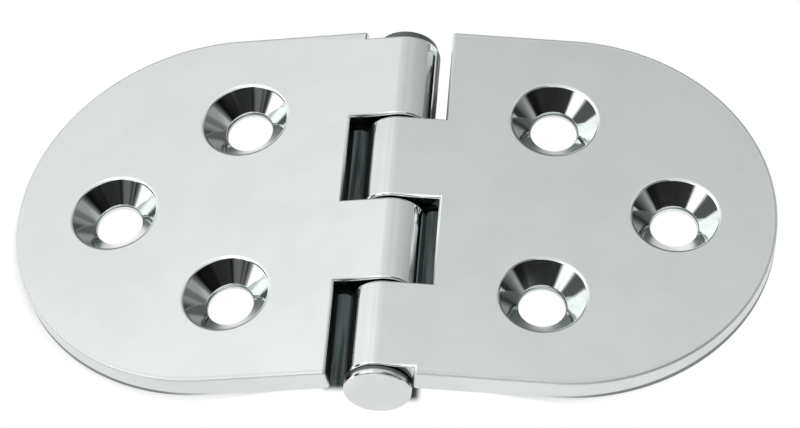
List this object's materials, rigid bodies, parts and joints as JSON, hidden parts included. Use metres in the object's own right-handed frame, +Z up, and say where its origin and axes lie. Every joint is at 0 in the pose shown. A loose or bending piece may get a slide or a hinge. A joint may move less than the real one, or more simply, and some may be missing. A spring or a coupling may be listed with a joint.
{
  "type": "hinge",
  "caption": "Flush hinge with round-ended leaves, countersunk screw holes and interleaved knuckles on a riveted pin, lying as a shallow tent.",
  "frame": {"origin": "on the table, straight below the middle of the pin's axis", "axes": "+X across the pin towards the right leaf, +Y along the pin away from its made head, +Z up"},
  "size_m": [0.0902, 0.0506, 0.008],
  "materials": {
    "leaf_steel": "mirror-polished stainless steel",
    "pin_steel": "polished stainless steel, slightly dulled by riveting"
  },
  "bodies": {
    "left_leaf": {"leaf_left": "leaf_steel", "hinge_pin": "pin_steel"},
    "right_leaf": {"leaf_right": "leaf_steel"}
  },
  "joints": [
    {"name": "leaf_fold", "type": "hinge", "parent": "left_leaf", "child": "right_leaf", "pos_m": [0, 0, 0.004], "axis": [0, -1, 0], "range_deg": [-167, 117]}
  ]
}
